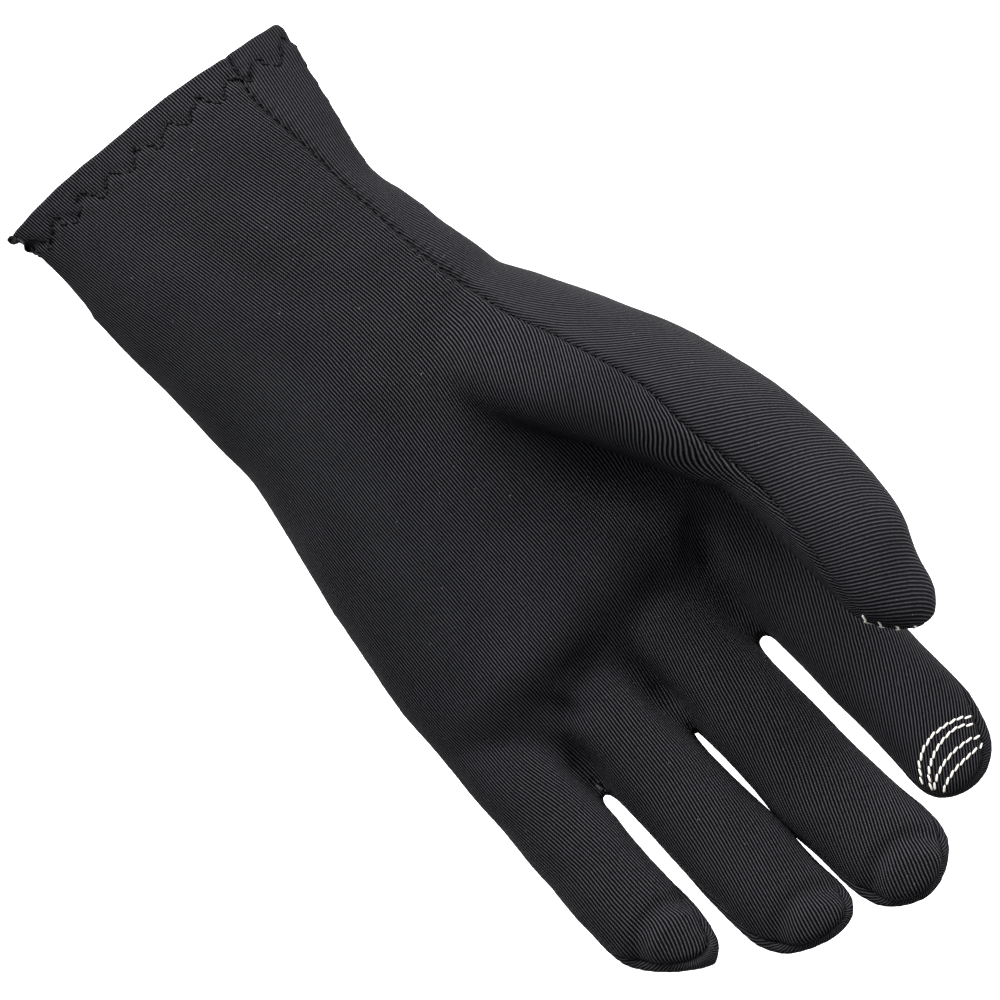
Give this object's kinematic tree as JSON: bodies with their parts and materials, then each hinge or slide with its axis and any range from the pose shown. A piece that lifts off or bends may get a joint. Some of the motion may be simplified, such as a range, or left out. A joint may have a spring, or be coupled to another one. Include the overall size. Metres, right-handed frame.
{
  "type": "glove liner",
  "caption": "Thin stretch-cloth glove liner for the left hand with a long hemmed cuff, in its worn shape, with thread arcs on the thumb and index fingertips.",
  "frame": {"origin": "middle of the cuff's mouth, where the hand goes in", "axes": "+X from the cuff to the fingertips, +Y to the thumb's side, +Z out of the palm"},
  "size_m": [0.2646, 0.1235, 0.0714],
  "materials": {
    "palm_cloth": "black stretch cloth with fine ribs",
    "back_cloth": "black stretch cloth with fine ribs"
  },
  "bodies": {
    "root": {"palm_panel": "palm_cloth", "back_panel": "back_cloth"}
  },
  "joints": []
}
